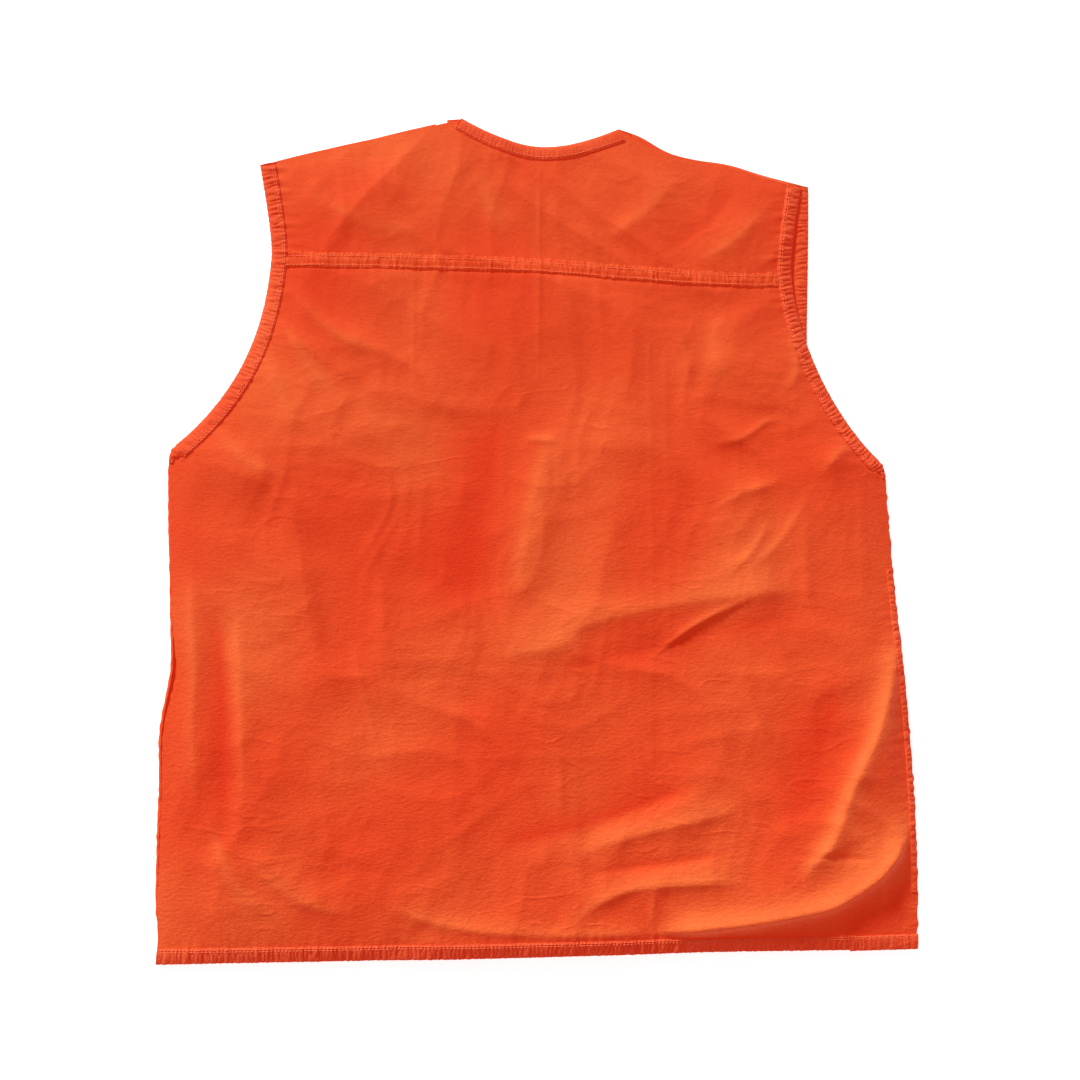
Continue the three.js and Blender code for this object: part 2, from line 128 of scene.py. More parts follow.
# Each fold is a path, a height, and how far it spreads on its left and on its right.
# Paths run towards +X or +Y. A negative height is a valley.
folds = [
    ([(213, 50), (224, 72), (241, 94), (257, 139), (277, 180), (288, 212), (299, 250), (304, 284)],
     7.5, 11, 24),
    ([(205, 95), (222, 140), (236, 185), (250, 240)], -2.8, 28, 20),
    ([(86, 18), (161, 24), (211, 32), (244, 40), (277, 62), (296, 82), (316, 116)], 8.5, 15, 8),
    ([(245, 12), (292, 30), (318, 66)], -4.0, 12, 18),
    ([(20, 22), (53, 47), (95, 58), (178, 60)], 3.4, 14, 8),
    ([(28, 68), (100, 76), (170, 85)], -2.0, 9, 9),
    ([(24, 77), (53, 93), (103, 106), (153, 118), (174, 135)], 2.8, 18, 9),
    ([(-47, 93), (40, 112), (137, 143)], -3.0, 16, 12),
    ([(-130, 47), (-88, 31), (-30, 21)], 3.0, 12, 8),
    ([(-259, 110), (-262, 200), (-267, 302)], -3.2, 14, 14),
    ([(-245, 100), (-247, 200), (-250, 310)], 1.8, 9, 16),
    ([(-282, 120), (-285, 220), (-286, 330)], 1.8, 10, 12),
    ([(-197, 27), (-247, 60), (-280, 135)], 2.2, 14, 16),
    ([(-60, 280), (-52, 370), (-30, 460)], -3.2, 44, 20),
    ([(-20, 292), (-8, 370), (16, 450)], 3.0, 18, 40),
    ([(-53, 247), (20, 262), (37, 278), (116, 296), (228, 307)], 2.8, 28, 14),
    ([(-10, 232), (60, 250), (150, 270), (225, 285)], -1.4, 12, 22),
    ([(138, 431), (172, 436), (200, 453), (222, 447)], 1.6, 5, 4),
    ([(-19, 432), (20, 432)], 1.5, 5, 3),
    ([(87, 243), (112, 264), (137, 281), (187, 304)], 2.2, 3.5, 2.0),
    ([(199, 83), (245, 79), (291, 77)], -1.2, 2.5, 2),
    ([(-107, 453), (-107, 593)], 0.4, 2.6, 2.6),
    ([(-2, 464), (-2, 668)], 0.55, 3, 2),
    ([(93, 143), (95, 350), (93, 548)], 0.3, 2.6, 2.6),
    ([(107, 143), (109, 350), (107, 548)], 0.25, 2.6, 2.6),
    ([(-166, 296), (-142, 200), (-126, 138)], 0.7, 3, 3),
    ([(-172, 444), (-19, 444)], 0.25, 3, 2.2),
    ([(-182, 236), (20, 238), (228, 236)], 0.3, 3, 2.4),
    ([(-87, 166), (93, 166)], 0.25, 3, 2.4),
    ([(93, 22), (94, 56)], 1.4, 3, 3),
    ([(50, 600), (92, 632), (128, 672)], 1.7, 18, 12),
    ([(96, 594), (140, 622), (180, 664)], -1.3, 18, 11),
    ([(122, 588), (166, 612), (208, 652)], 1.6, 10, 15),
    ([(178, 586), (206, 604), (224, 640)], 0.9, 8, 8),
    ([(-200, 640), (-150, 612), (-90, 600)], 2.2, 22, 26),
    ([(-60, 660), (-40, 620), (-20, 596)], 1.6, 16, 20),
    ([(-216, 566), (-170, 520), (-120, 500)], 2.0, 9, 12),
    ([(-222, 545), (-190, 490), (-160, 450)], 1.8, 9, 12),
    ([(-236, 512), (-215, 470), (-200, 430)], 1.6, 8, 10),
    ([(-270, 440), (-240, 410), (-200, 395)], 1.8, 10, 14),
    ([(150, 312), (180, 340), (200, 372)], 1.5, 6, 6),
    ([(172, 318), (205, 350), (232, 392)], 1.4, 6, 7),
    ([(140, 372), (176, 390), (214, 402)], 1.2, 6, 6),
    ([(205, 470), (225, 500), (214, 548)], 2.0, 9, 9),
    ([(236, 400), (262, 428), (284, 434)], 2.2, 9, 8),
    ([(-250, 96), (-222, 66), (-186, 46), (-140, 38)], 1.8, 12, 7),
    ([(170, 480), (150, 520), (160, 560)], 1.6, 14, 16),
    ([(-74, 26), (-10, 20), (50, 18), (112, 20)], 2.6, 14, 6),
]


# The path as a smooth line through its points.
def dense(path, step=6.0):
    q = np.array(path, float)
    q = np.vstack([2 * q[0] - q[1], q, 2 * q[-1] - q[-2]])
    out = []
    for a, b, c, d in zip(q[:-3], q[1:-2], q[2:-1], q[3:]):
        n = max(2, int(np.linalg.norm(c - b) / step))
        t = (np.arange(n) / n)[:, None]
        out.append(0.5 * (2 * b + (c - a) * t + (2 * a - 5 * b + 4 * c - d) * t**2
                          + (3 * b - a - 3 * c + d) * t**3))
    return np.vstack([*out, q[-2][None]])


# One fold's height at each point. It fades out towards the ends of its path.
def foldHeight(x, y, path, height, left, right):
    line = dense(path)
    reach = relief["foldReach"] * max(left, right)
    low, high = line.min(axis=0) - reach, line.max(axis=0) + reach
    near = (x > low[0]) & (x < high[0]) & (y > low[1]) & (y < high[1])
    px, py = x[near], y[near]
    best = np.full(px.shape, 1e9)
    side = np.zeros(px.shape)
    along = np.zeros(px.shape)
    lengths = np.concatenate([[0], np.cumsum(np.linalg.norm(np.diff(line, axis=0), axis=1))])
    for i in range(len(line) - 1):
        ax, ay = line[i]
        dx, dy = line[i + 1] - line[i]
        size = math.hypot(dx, dy)
        t = np.clip(((px - ax) * dx + (py - ay) * dy) / size**2, 0, 1)
        gx, gy = px - ax - t * dx, py - ay - t * dy
        far = np.hypot(gx, gy)
        nearer = far < best
        best = np.where(nearer, far, best)
        side = np.where(nearer, dx * gy - dy * gx, side)
        along = np.where(nearer, lengths[i] + t * size, along)
    spread = np.where(side > 0, left, right)
    total = lengths[-1]
    ends = min(relief["foldEndShare"] * total, relief["foldEnds"])
    fade = smooth(0, ends, along) * smooth(0, ends, total - along)
    out = np.zeros(x.shape)
    out[near] = height * fade * np.exp(0.17 - np.sqrt((best / spread * 1.25) ** 2 + 0.03))
    return out


# Smooth random relief whose bumps are about one length across. It spans roughly -1 to 1.
def waves(x, y, length, seed, count=26, stretch=(1.0, 1.0)):
    rng = np.random.default_rng(seed)
    total = np.zeros(x.shape)
    for _ in range(count):
        angle = rng.uniform(0, 2 * math.pi)
        k = 2 * math.pi / (length * rng.uniform(0.7, 1.6))
        phase = rng.uniform(0, 2 * math.pi)
        across = x * math.cos(angle) / stretch[0] + y * math.sin(angle) / stretch[1]
        total += np.sin(k * across + phase)
    return total / math.sqrt(count)


# Flat slopes that meet in crisp crests, as thin stiff cloth crumples.
def facets(x, y, length, seed, stretch=(1.0, 1.0)):
    bend = 0.3 * length
    wx = x + bend * waves(x, y, length * 2, seed + 1)
    wy = y + bend * waves(x, y, length * 2, seed + 2)
    return 0.5 - np.abs(waves(wx, wy, length, seed, 9, stretch))


# Roughly how far each point is from the vest's side, armhole, shoulder or hem.
def edgeDistance(x, y):
    side = halfWidth(np.clip(y, 0, p["tipY"])) - np.abs(x)
    top = p["length"] - np.clip(np.abs(x) - p["neckHalf"], 0, None) * shoulderSlope - y
    return side, top, y


# Goes from 0 at an edge towards 1, with a given softness in millimetres.
def swell(distance, softness):
    return 1 - np.exp(-np.clip(distance, 0, None) / softness)


# Height of the front layer of cloth over the floor. It is flat and high over the zipper.
def frontZ(x, y):
    side, top, low = edgeDistance(x, y)
    soft = relief["edgeSoftness"]
    centre = np.exp(-((x / relief["flatOverZipper"]) ** 6))
    byHem = np.maximum(swell(low - 2, soft / 2.2), centre * (0.5 + 0.5 * smooth(0, 15, low)))
    shoulderEdge = 0.25 + 0.5 * smooth(150, 110, np.abs(x))
    byShoulder = shoulderEdge + (1 - shoulderEdge) * swell(top, soft / 1.4)
    rise = np.clip(swell(side, soft / 1.6) * byHem * byShoulder * 1.12, 0, 1)
    wave = 0.5 * waves(x, y, 60, 5) * (1 - centre)
    return relief["edgeHeight"] + (relief["middleHeight"] - relief["edgeHeight"] + wave) * rise


# Gathers in the cloth beside the seams.
def puckers(x, y):
    side, _, low = edgeDistance(x, y)
    hem = 0.55 * np.exp(-np.clip(low - 13, 0, None) / 7) * waves(x, y, 7, 21, stretch=(1, 6))
    yoke = 0.32 * np.exp(-np.abs(y - 580) / 9) * waves(x, y, 8, 22, stretch=(1, 5))
    arm = 0.55 * np.exp(-np.clip(side - 12, 0, None) / 7) * (y > p["underarmY"] - 10)
    arm = arm * waves(x, y, 6, 23, stretch=(5, 1))
    seam = 0.9 * np.exp(-np.clip(side - 3, 0, None) / 8) * (y < p["underarmY"]) * (x > 0)
    seam = seam * waves(x, y, 8, 24, stretch=(3, 1)) * smooth(40, 80, y) * smooth(340, 300, y)
    return hem + yoke + arm + seam


# The value, kept over a limit that it nears softly.
def atLeast(value, limit, hardness):
    return limit + np.logaddexp(0, (value - limit) * hardness) / hardness


# Painted light and shade of the folds: from -1 in the valleys, painted deeper as shade, to 1 on the ridges,
# painted paler as highlight. Ridges spread it wider on their left side, which faces the key light, than on
# their right. A broad random tone is added.
def foldShadeAt(x, y):
    z = 0.35 * waves(x, y, 150, relief["seed"] + 3)
    for path, height, left, right in folds:
        z += foldHeight(x, y, path, height, left * 0.75, right * 0.4) / 2.8
    return np.tanh(z)


# Height of the back layer of cloth over the floor, in millimetres.
def backZ(x, y):
    x, y = np.asarray(x, float), np.asarray(y, float)
    side, top, low = edgeDistance(x, y)
    inside = smooth(0, 60, np.minimum(np.minimum(side, low), top + 10))
    z = np.zeros(x.shape)
    for path, height, left, right in folds:
        z += foldHeight(x, y, path, height * relief["foldScale"], left, right)
    seed = relief["seed"]
    z += inside * (0.8 * waves(x, y, 120, seed) + 0.12 * waves(x, y, 42, seed + 1))
    for length, height, stretch in relief["crinkles"]:
        z += height * inside ** 0.5 * facets(x, y, length, seed + int(length), stretch)
    z += puckers(x, y)
    over = relief["backOverFront"] + relief["backRise"] * inside + z * (0.35 + 0.65 * smooth(0, 22, side))
    z = frontZ(x, y) + atLeast(over, relief["least"], 1.6)
    tape = relief["overTape"] * smooth(58, 30, np.abs(x)) * smooth(-4, 14, y) * smooth(640, 575, y)
    slider = relief["overSlider"] * np.exp(-((x / 26) ** 4) - ((y - 32) / 40) ** 4)
    for under in (tape, slider):
        z = atLeast(z, under, 1.5)
    return z


# How far the cloth lies off the even pattern: a place on it, and its shift along X and Y.
lie = [
    ((-228, 656), (-8, 7)), ((-71, 699), (4, 8)), ((0, 678), (1, 6)), ((71, 699), (-3, 5)),
    ((228, 656), (2, 4)), ((-219, 580), (-6, 2)), ((0, 580), (1, 1)), ((219, 580), (1, -4)),
    ((-262, 470), (-3, 2)), ((-300, 417), (-8, 6)), ((-303, 300), (-3, 0)), ((-310, 150), (0, 0)),
    ((-317, 0), (3, 1)), ((-120, 0), (0, 0)), ((0, 0), (0, 0)), ((120, 0), (2, 0)),
    ((317, 0), (11, -2)), ((313, 100), (13, 0)), ((308, 200), (13, 0)), ((302, 320), (8, 0)),
    ((300, 417), (3, -1)),
    ((262, 470), (0, 0)), ((0, 300), (0, 0)), ((0, 150), (0, 0)), ((-150, 300), (0, 0)),
    ((150, 300), (2, 0)), ((0, 450), (0, 1)), ((150, 677), (0, 0)), ((-150, 677), (-2, 8)),
]
liePlaces = np.array([q for q, _ in lie], float)
lieReach = 130.0
lieSpread = np.exp(-((liePlaces[:, None] - liePlaces[None]) ** 2).sum(-1) / lieReach**2)
lieWeights = np.linalg.solve(lieSpread + 0.02 * np.eye(len(lie)), np.array([d for _, d in lie], float))

# Short pushes of the outline: a place, its shift, and how far it reaches.
dents = [((112, 692), (0, -6), 32), ((-309, 190), (-3.5, 0), 34), ((-303, 245), (2, 0), 24),
         ((-316, 22), (2, 0), 16), ((168, 676), (0, 2), 22)]


# Vertices in metres, shifted to where the cloth really lies.
def placed(x, y, z):
    x, y, z = np.broadcast_arrays(x, y, z)
    flat = np.stack([x.ravel(), y.ravel()], -1)
    near = np.exp(-((flat[:, None] - liePlaces[None]) ** 2).sum(-1) / lieReach**2)
    moved = flat + near @ lieWeights
    for place, shift, reach in dents:
        far = ((flat - place) ** 2).sum(-1) / reach**2
        moved += np.exp(-far)[:, None] * shift
    return np.stack([moved[:, 0] * mm, (moved[:, 1] - midY) * mm, z.ravel() * mm], -1)


def linked(name, data):
    made = bpy.data.objects.new(name, data)
    bpy.context.scene.collection.objects.link(made)
    return made


# Vertices in metres with no shift, for the zipper, which has to stay true to its slider.
def squared(x, y, z):
    x, y, z = np.broadcast_arrays(x, y, z)
    return np.stack([x.ravel() * mm, (y.ravel() - midY) * mm, z.ravel() * mm], -1)


def meshObject(name, vertices, faces, attributes=None):
    data = bpy.data.meshes.new(name)
    data.from_pydata([tuple(v) for v in vertices], [], [tuple(f) for f in faces])
    for key, values in (attributes or {}).items():
        made = data.attributes.new(key, "FLOAT", "POINT")
        made.data.foreach_set("value", np.asarray(values, np.float32).ravel())
    data.validate()
    data.shade_smooth()
    return linked(name, data)


def gridFaces(rows, columns, closed=False):
    i = np.arange(rows - 1)[:, None]
    j = np.arange(columns if closed else columns - 1)[None]
    k = (j + 1) % columns
    a, b = i * columns + j, i * columns + k
    c, d = b + columns, a + columns
    return np.stack(np.broadcast_arrays(a, b, c, d), -1).reshape(-1, 4)


# Each vertex carries the painted light and shade of the folds, which the cloth's material reads.
def clothGrid(name, x, y, z, foldShade=None):
    rows, columns = x.shape
    foldShade = foldShadeAt(x, y) if foldShade is None else foldShade
    return meshObject(name, placed(x, y, z), gridFaces(rows, columns), {"foldShade": foldShade})


# A sheet with a top, an underside and a turned edge all round.
def closedSheet(name, x, y, top, thickness):
    rows, columns = x.shape
    count = rows * columns
    vertices = np.vstack([placed(x, y, top), placed(x, y, top - thickness)])
    faces = gridFaces(rows, columns)
    ring = [*range(columns), *range(2 * columns - 1, count, columns),
            *range(count - 2, count - columns - 1, -1), *range(count - 2 * columns, 0, -columns)]
    walls = [(a + count, b + count, b, a) for a, b in zip(ring, ring[1:] + ring[:1])]
    return meshObject(name, vertices, [*map(tuple, faces), *map(tuple, faces[:, ::-1] + count), *walls])


# The line again, with points a step apart.
def evenly(line, step):
    line = np.asarray(line, float)
    lengths = np.concatenate([[0], np.cumsum(np.linalg.norm(np.diff(line, axis=0), axis=1))])
    n = max(2, int(round(lengths[-1] / step)) + 1)
    s = np.linspace(0, lengths[-1], n)
    return np.stack([np.interp(s, lengths, line[:, k]) for k in (0, 1)], -1), s


# Unit normals on the side of the line that towards, +1 for left, names.
def inwardNormals(line, towards):
    d = np.gradient(line, axis=0)
    d /= np.linalg.norm(d, axis=1)[:, None]
    return np.stack([-d[:, 1], d[:, 0]], -1) * towards


# A flat folded strip along a line. Its outer edge is the line, and height gives what it lies on.
# A taper narrows its start over that many millimetres.
def ribbon(name, line, towards, width, height, thickness, lift=0.0, step=0.7, sections=14,
           taper=None, put=placed):
    line, s = evenly(line, step)
    normals = inwardNormals(line, towards)
    t = (1 - np.cos(np.linspace(0, math.pi, sections // 2 + 1))) / 2
    across = np.concatenate([t, t[-2:0:-1]])
    bulge = np.sin(np.pi * np.clip(across, 0, 1)) ** 0.45
    up = np.concatenate([bulge[:len(t)], -bulge[len(t):]]) * thickness / 2
    if taper:
        width = width * (0.3 + 0.7 * smooth(0, taper, s))[:, None]
    x = line[:, :1] + normals[:, :1] * across * width
    y = line[:, 1:] + normals[:, 1:] * across * width
    z = height(x, y) + lift + up
    rows, columns = x.shape
    faces = [tuple(f) for f in gridFaces(rows, columns, closed=True)]
    faces += [tuple(range(columns)), tuple(range(rows * columns - 1, (rows - 1) * columns - 1, -1))]
    if towards < 0:
        faces = [f[::-1] for f in faces]
    return meshObject(name, put(x, y, z), [f[::-1] for f in faces],
                      {"along": np.repeat(s * mm, columns), "across": np.tile(across, rows)})


# A colour from 0 to 255 as a linear colour.
def srgb(*colour):
    shares = [c / 255 for c in colour]
    return tuple(c / 12.92 if c <= 0.04 else ((c + 0.055) / 1.055) ** 2.4 for c in shares) + (1,)


# A short way to add nodes and link them.
class Tree:
    def __init__(self, tree):
        self.tree = tree

    def add(self, kind, settings=None, **inputs):
        node = self.tree.nodes.new(kind)
        for key, value in (settings or {}).items():
            setattr(node, key, value)
        for key, value in inputs.items():
            numbered = key[0] == "i" and key[1:].isdigit()
            socket = node.inputs[int(key[1:]) if numbered else key.replace("_", " ")]
            if isinstance(value, bpy.types.NodeSocket):
                self.tree.links.new(value, socket)
            else:
                socket.default_value = value
        return node

    def math(self, operation, a, b=0.0, c=0.0):
        return self.add("ShaderNodeMath", {"operation": operation}, i0=a, i1=b, i2=c).outputs[0]

    def plus(self, a, b):
        return self.math("ADD", a, b)

    def minus(self, a, b):
        return self.math("SUBTRACT", a, b)

    def times(self, a, b):
        return self.math("MULTIPLY", a, b)

    def noise(self, vector, scale, detail, roughness=0.5, distortion=0.0):
        return self.add("ShaderNodeTexNoise", None, Vector=vector, Scale=scale, Detail=detail,
                        Roughness=roughness, Distortion=distortion).outputs["Fac"]


def newMaterial(name):
    material = bpy.data.materials.new(name)
    material.use_nodes = True
    material.node_tree.nodes.clear()
    return material, Tree(material.node_tree)


poplin = {
    "base": (175, 72, 30), "light": (186, 104, 50), "deep": (167, 40, 10), "evenness": 0.9,
    "roughness": 0.85, "sheen": 0.08, "specular": 0.15, "weavePitch": 0.00052, "weaveDepth": 0.00004,
    # One key on the next line sets how far the painted light and shade of the folds moves the colour.
    "wrinkleDepth": 0.0003, "slubDepth": 0.00042, "foldShade": 0.36,
    "roughBelow": -0.34, "smoothAbove": 0.25, "roughShare": 2.2, "smoothShare": 0.7,
    "glow": 0.4, "glowColour": (1.0, 0.02, 0.002, 1),  # a constant red-orange glow painted on the cloth keeps its shade saturated
}


def clothMaterial(name, look):
    material, t = newMaterial(name)
    where = t.add("ShaderNodeTexCoord").outputs["Object"]
    x, y, _ = t.add("ShaderNodeSeparateXYZ", None, Vector=where).outputs
    stretched = t.add("ShaderNodeMapping", None, Vector=where, Scale=(0.5, 1.0, 1.0)).outputs[0]

    # Colour: faded patches, thick threads, specks, and the folds' painted light and shade
    speck = t.noise(where, 260.0, 4.0, 0.7)
    threads = t.plus(t.times(t.noise(stretched, 900.0, 3.0, 0.65), 0.45), t.times(speck, 0.15))
    # The painted light and shade of the folds, read from the mesh.
    foldShading = t.add("ShaderNodeAttribute", {"attribute_name": "foldShade"}).outputs["Fac"]
    mixed = t.plus(t.plus(t.times(t.noise(where, 9.0, 5.0, 0.6), 0.4), threads), t.times(foldShading, look["foldShade"]))
    ramp = t.add("ShaderNodeValToRGB", None, Fac=mixed)
    spread = 0.5 * (1 - look["evenness"])
    stops = ramp.color_ramp.elements
    stops[0].position, stops[1].position = spread, 1 - spread
    stops[0].color, stops[1].color = srgb(*look["deep"]), srgb(*look["light"])
    stops.new(0.5).color = srgb(*look["base"])

    # Relief: the weave, thick threads, and small wrinkles in patches
    turns = 2 * math.pi / look["weavePitch"]
    weave = t.times(t.math("SINE", t.times(x, turns)), t.math("SINE", t.times(y, turns)))
    drawn = t.add("ShaderNodeMapping", None, Vector=where, Rotation=(0, 0, 0.5), Scale=(0.45, 1.0, 1.0))
    wrinkle = t.noise(drawn.outputs[0], 38.0, 1.5, 0.5, 0.25)
    ridge = t.math("SMOOTH_MIN", t.math("ABSOLUTE", t.minus(wrinkle, 0.5)), 0.05, 0.02)
    patches = t.add("ShaderNodeMapRange", None, Value=t.noise(where, 11.0, 1.0), From_Min=0.45, From_Max=0.65)
    wrinkles = t.times(t.times(t.minus(0.05, ridge), patches.outputs[0]), look["wrinkleDepth"] * 14)
    thick = t.times(t.noise(stretched, 420.0, 2.0, 0.6), look["slubDepth"])
    share = t.add("ShaderNodeMapRange", None, Value=y, From_Min=look["roughBelow"],
                  From_Max=look["smoothAbove"], To_Min=look["roughShare"],
                  To_Max=look["smoothShare"]).outputs[0]
    height = t.plus(t.times(t.plus(wrinkles, thick), share), t.times(weave, look["weaveDepth"]))
    bump = t.add("ShaderNodeBump", None, Height=height, Strength=1.0, Distance=1.0).outputs[0]

    rough = t.plus(look["roughness"] - 0.06, t.times(speck, 0.12))
    # The emission is a painted glow that keeps the cloth's shade saturated.
    shader = t.add("ShaderNodeBsdfPrincipled", None, Base_Color=ramp.outputs[0], Roughness=rough, Normal=bump,
                   Sheen_Weight=look["sheen"], Sheen_Roughness=0.5, Specular_IOR_Level=look["specular"],
                   Emission_Color=look["glowColour"], Emission_Strength=look["glow"])
    t.add("ShaderNodeOutputMaterial", None, Surface=shader.outputs[0])
    return material


def plainMaterial(name, colour, roughness, metallic=0.0, grain=0.0):
    material, t = newMaterial(name)
    noise = t.noise(t.add("ShaderNodeTexCoord").outputs["Object"], 1400.0, 4.0)
    bump = t.add("ShaderNodeBump", None, Height=t.times(noise, grain), Strength=1.0, Distance=1.0).outputs[0]
    shader = t.add("ShaderNodeBsdfPrincipled", None, Base_Color=srgb(*colour), Metallic=metallic, Normal=bump,
                   Roughness=t.plus(roughness - 0.08, t.times(noise, 0.16)))
    t.add("ShaderNodeOutputMaterial", None, Surface=shader.outputs[0])
    return material


binding = {**poplin, "base": (176, 76, 37), "light": (190, 110, 64), "deep": (156, 44, 16), "evenness": 0.5}
# The hem's binding is the binding tape made darker all through, which is painted shade.
shadedHemBinding = {**binding, "base": (166, 72, 36), "light": (188, 108, 62), "deep": (138, 40, 16)}
clothMat = clothMaterial("poplin", poplin)
bindingMat = clothMaterial("binding", binding)
shadedHemMat = clothMaterial("hem_binding", shadedHemBinding)
threadMat = plainMaterial("thread", (248, 112, 64), 0.7, grain=0.0001)
coilMat = plainMaterial("coil", (214, 70, 34), 0.45, grain=0.00003)
metalMat = plainMaterial("nickel", (196, 198, 202), 0.3, 1.0, 0.00001)
print("materials made")


# A new geometry tree with named inputs, and the outputs of its input node.
def newTree(name, sizes):
    tree = bpy.data.node_groups.new(name, "GeometryNodeTree")
    for socket, kind in {"Geometry": "Geometry", **sizes, "Material": "Material"}.items():
        tree.interface.new_socket(name=socket, in_out="INPUT", socket_type="NodeSocket" + kind)
    tree.interface.new_socket(name="Geometry", in_out="OUTPUT", socket_type="NodeSocketGeometry")
    t = Tree(tree)
    return tree, t, t.add("NodeGroupInput").outputs


def endTree(t, geometry, material):
    whole = t.add("GeometryNodeRealizeInstances", None, Geometry=geometry).outputs[0]
    done = t.add("GeometryNodeSetMaterial", None, Geometry=whole, Material=material).outputs[0]
    t.add("NodeGroupOutput", None, Geometry=done)


# Gathers across a strip: uneven ribs that drift as they go along it.
def puckerTree():
    tree, t, given = newTree("Puckers", {"Pitch": "Float", "Depth": "Float", "Seed": "Float"})
    along, across = (t.add("GeometryNodeInputNamedAttribute", {"data_type": "FLOAT"}, Name=name).outputs[0]
                     for name in ("along", "across"))
    turns = t.plus(t.math("DIVIDE", along, given["Pitch"]), t.times(given["Seed"], 7.3))

    def drift(byTurn, byAcross, detail):
        at = t.add("ShaderNodeCombineXYZ", None, X=t.times(turns, byTurn), Y=t.times(across, byAcross),
                   Z=given["Seed"]).outputs[0]
        return t.noise(at, 1.0, detail)

    phase = t.plus(turns, t.times(drift(0.45, 0.7, 1.0), 3.2))
    rib = t.math("POWER", t.math("ABSOLUTE", t.math("SINE", t.times(phase, math.pi))), 0.45)
    uneven = t.times(t.minus(rib, 0.8), t.plus(0.2, t.times(drift(1.7, 3.0, 2.0), 1.5)))
    middle = t.plus(0.3, t.times(t.math("SINE", t.times(across, math.pi)), 0.7))
    amount = t.times(t.times(uneven, middle), given["Depth"])
    normal = t.add("GeometryNodeInputNormal").outputs[0]
    offset = t.add("ShaderNodeVectorMath", {"operation": "SCALE"}, Vector=normal, Scale=amount).outputs[0]
    moved = t.add("GeometryNodeSetPosition", None, Geometry=given["Geometry"], Offset=offset).outputs[0]
    endTree(t, moved, given["Material"])
    return tree


# Small rounded pieces in a row along a line, such as stitches or zipper teeth.
def rowTree():
    sizes = {"Spacing": "Float", "Size": "Vector", "Unevenness": "Float", "Seed": "Int"}
    tree, t, given = newTree("Row", sizes)
    curve = t.add("GeometryNodeMeshToCurve", None, Mesh=given["Geometry"]).outputs[0]
    points = t.add("GeometryNodeResampleCurve", {"mode": "LENGTH"}, Curve=curve, Length=given["Spacing"])
    ball = t.add("GeometryNodeMeshIcoSphere", None, Radius=0.5, Subdivisions=2).outputs[0]
    tangent = t.add("GeometryNodeInputTangent").outputs[0]
    turn = t.add("FunctionNodeAlignRotationToVector", {"axis": "X"}, Vector=tangent).outputs[0]
    size = t.add("FunctionNodeRandomValue", {"data_type": "FLOAT"}, Seed=given["Seed"],
                 i2=t.minus(1.0, given["Unevenness"]), i3=t.plus(1.0, given["Unevenness"])).outputs[1]
    scale = t.add("ShaderNodeVectorMath", {"operation": "SCALE"}, Vector=given["Size"], Scale=size).outputs[0]
    put = t.add("GeometryNodeInstanceOnPoints", None, Points=points.outputs[0], Instance=ball,
                Rotation=turn, Scale=scale)
    endTree(t, put.outputs[0], given["Material"])
    return tree


puckerNodes, rowNodes = puckerTree(), rowTree()


# The object with the tree's work made part of its mesh.
def baked(obj, tree, **inputs):
    modifier = obj.modifiers.new(tree.name, "NODES")
    modifier.node_group = tree
    for socket in tree.interface.items_tree:
        if socket.in_out == "INPUT" and socket.name in inputs:
            modifier[socket.identifier] = inputs[socket.name]
    obj.update_tag()
    bpy.context.view_layer.update()
    made = bpy.data.meshes.new_from_object(obj.evaluated_get(bpy.context.evaluated_depsgraph_get()))
    obj.modifiers.clear()
    obj.data = made
    obj.data.name = obj.name
    obj.data.shade_smooth()
    return obj


# Widths and thicknesses of the strips that bind the edges, in millimetres
bound = {"neck": 11, "frontNeck": 12, "roll": 6, "thick": 2.4, "thin": 2.2, "hemThick": 2.3,
         "rollThick": 1.8, "taper": 17}
pucker = {"pitch": 0.0042, "depth": 0.0016}
stitch = {"spacing": 0.0031, "size": (0.0024, 0.0007, 0.0006), "unevenness": 0.15}


def puckered(obj, seed, depth=1.0, pitch=1.0, material=bindingMat):
    return baked(obj, puckerNodes, Pitch=pucker["pitch"] * pitch, Depth=pucker["depth"] * depth,
                 Seed=float(seed), Material=material)


# One piece with every row of stitches in the list of lines.
def stitches(name, rows, height, lift, seed):
    vertices, edges = [], []
    for line in rows:
        line, _ = evenly(line, 3)
        first = len(vertices)
        z = height(line[:, 0], line[:, 1]) + lift
        vertices += [tuple(v) for v in placed(line[:, 0], line[:, 1], z)]
        edges += [(first + i, first + i + 1) for i in range(len(line) - 1)]
    data = bpy.data.meshes.new(name)
    data.from_pydata(vertices, edges, [])
    return baked(linked(name, data), rowNodes, Spacing=stitch["spacing"], Size=stitch["size"],
                 Unevenness=stitch["unevenness"], Seed=seed, Material=threadMat)


def shifted(line, towards, distance):
    line, _ = evenly(line, 2)
    return line + inwardNormals(line, towards) * distance


def mirror(line):
    return np.asarray(line) * (-1, 1)


sides = {"left": -1, "right": 1}


# Gives a finished piece its material, its body and the CAD nodes that it stands for.
def keep(obj, body, material, slotName, *nodes):
    if material:
        obj.data.materials.clear()
        obj.data.materials.append(material)
    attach(obj, body)
    if nodes:
        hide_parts(*nodes)
    return obj


# Sizes of the back's grids, in millimetres
backCloth = {"pitch": 2.1, "yokePitch": 1.5, "bandRise": 0.85, "tuck": 0.9}


